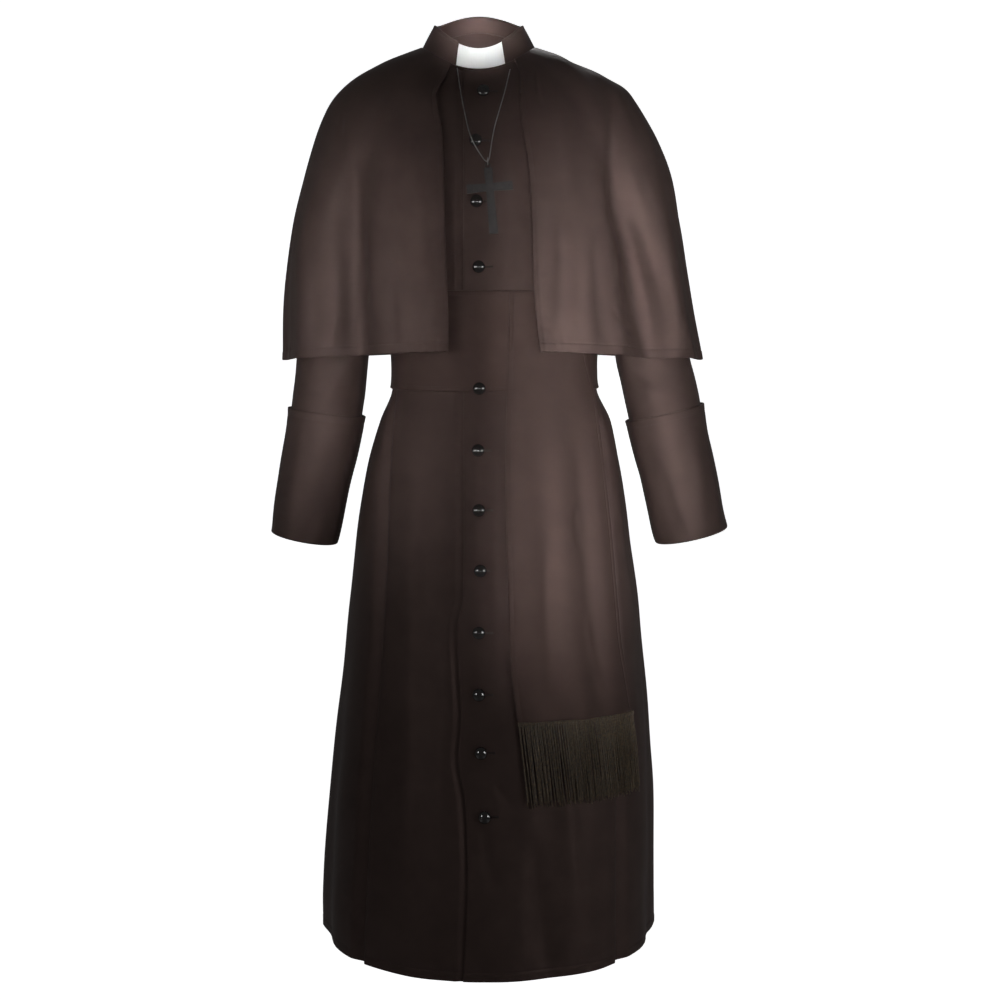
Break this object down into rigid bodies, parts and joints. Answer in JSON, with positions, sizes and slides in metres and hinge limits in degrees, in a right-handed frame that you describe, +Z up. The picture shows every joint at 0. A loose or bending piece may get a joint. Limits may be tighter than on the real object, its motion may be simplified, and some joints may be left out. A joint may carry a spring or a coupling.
{
  "type": "priest costume: long buttoned cassock with shoulder cape, sash and cross",
  "caption": "Long dark brown buttoned cassock, worn form with no wearer, with shoulder cape, stand collar, turned-back cuffs, fringed sash and a cross on a chain.",
  "frame": {"origin": "the middle of the wearer's neck, level with the sides of the collar seam", "axes": "+Z up along the body, -Y to the front, +X to the wearer's left"},
  "size_m": [0.66, 0.4259, 1.349],
  "materials": {
    "satin_cloth": "dark chocolate brown satin-faced polyester twill with a soft sheen",
    "sash_cloth": "the same dark brown cloth, doubled and pressed, a little duller",
    "white_insert": "stiff white cotton collar insert",
    "fringe_yarn": "twisted brown-black rayon yarn with golden glints",
    "glossy_button": "glossy brown-black domed plastic",
    "steel_chain": "fine silver-grey cable chain",
    "dark_cross": "dark grey-brown painted cast metal, rubbed lighter at its edges"
  },
  "bodies": {
    "garment": {"bodice_right_front": "satin_cloth", "bodice_left_front": "satin_cloth", "bodice_back": "satin_cloth", "skirt_right_front": "satin_cloth", "skirt_left_front": "satin_cloth", "skirt_back": "satin_cloth", "skirt_right_gore": "satin_cloth", "skirt_left_gore": "satin_cloth", "sleeve_right": "satin_cloth", "sleeve_left": "satin_cloth", "cuff_right": "satin_cloth", "cuff_left": "satin_cloth", "collar_band": "satin_cloth", "collar_insert": "white_insert", "cape_right_front": "satin_cloth", "cape_left_front": "satin_cloth", "cape_back": "satin_cloth", "waist_band": "sash_cloth", "sash_tail": "sash_cloth", "sash_fringe": "fringe_yarn", "button_01": "glossy_button", "button_02": "glossy_button", "button_03": "glossy_button", "button_04": "glossy_button", "button_05": "glossy_button", "button_06": "glossy_button", "button_07": "glossy_button", "button_08": "glossy_button", "button_09": "glossy_button", "button_10": "glossy_button", "button_11": "glossy_button", "button_12": "glossy_button", "neck_chain": "steel_chain"},
    "pendant": {"cross_ring": "steel_chain", "cross_pendant": "dark_cross"}
  },
  "joints": [
    {"name": "cross_swing", "type": "hinge", "parent": "garment", "child": "pendant", "pos_m": [0.01228, -0.12053, -0.162], "axis": [-1, 0, 0], "range_deg": [0, 110]}
  ]
}
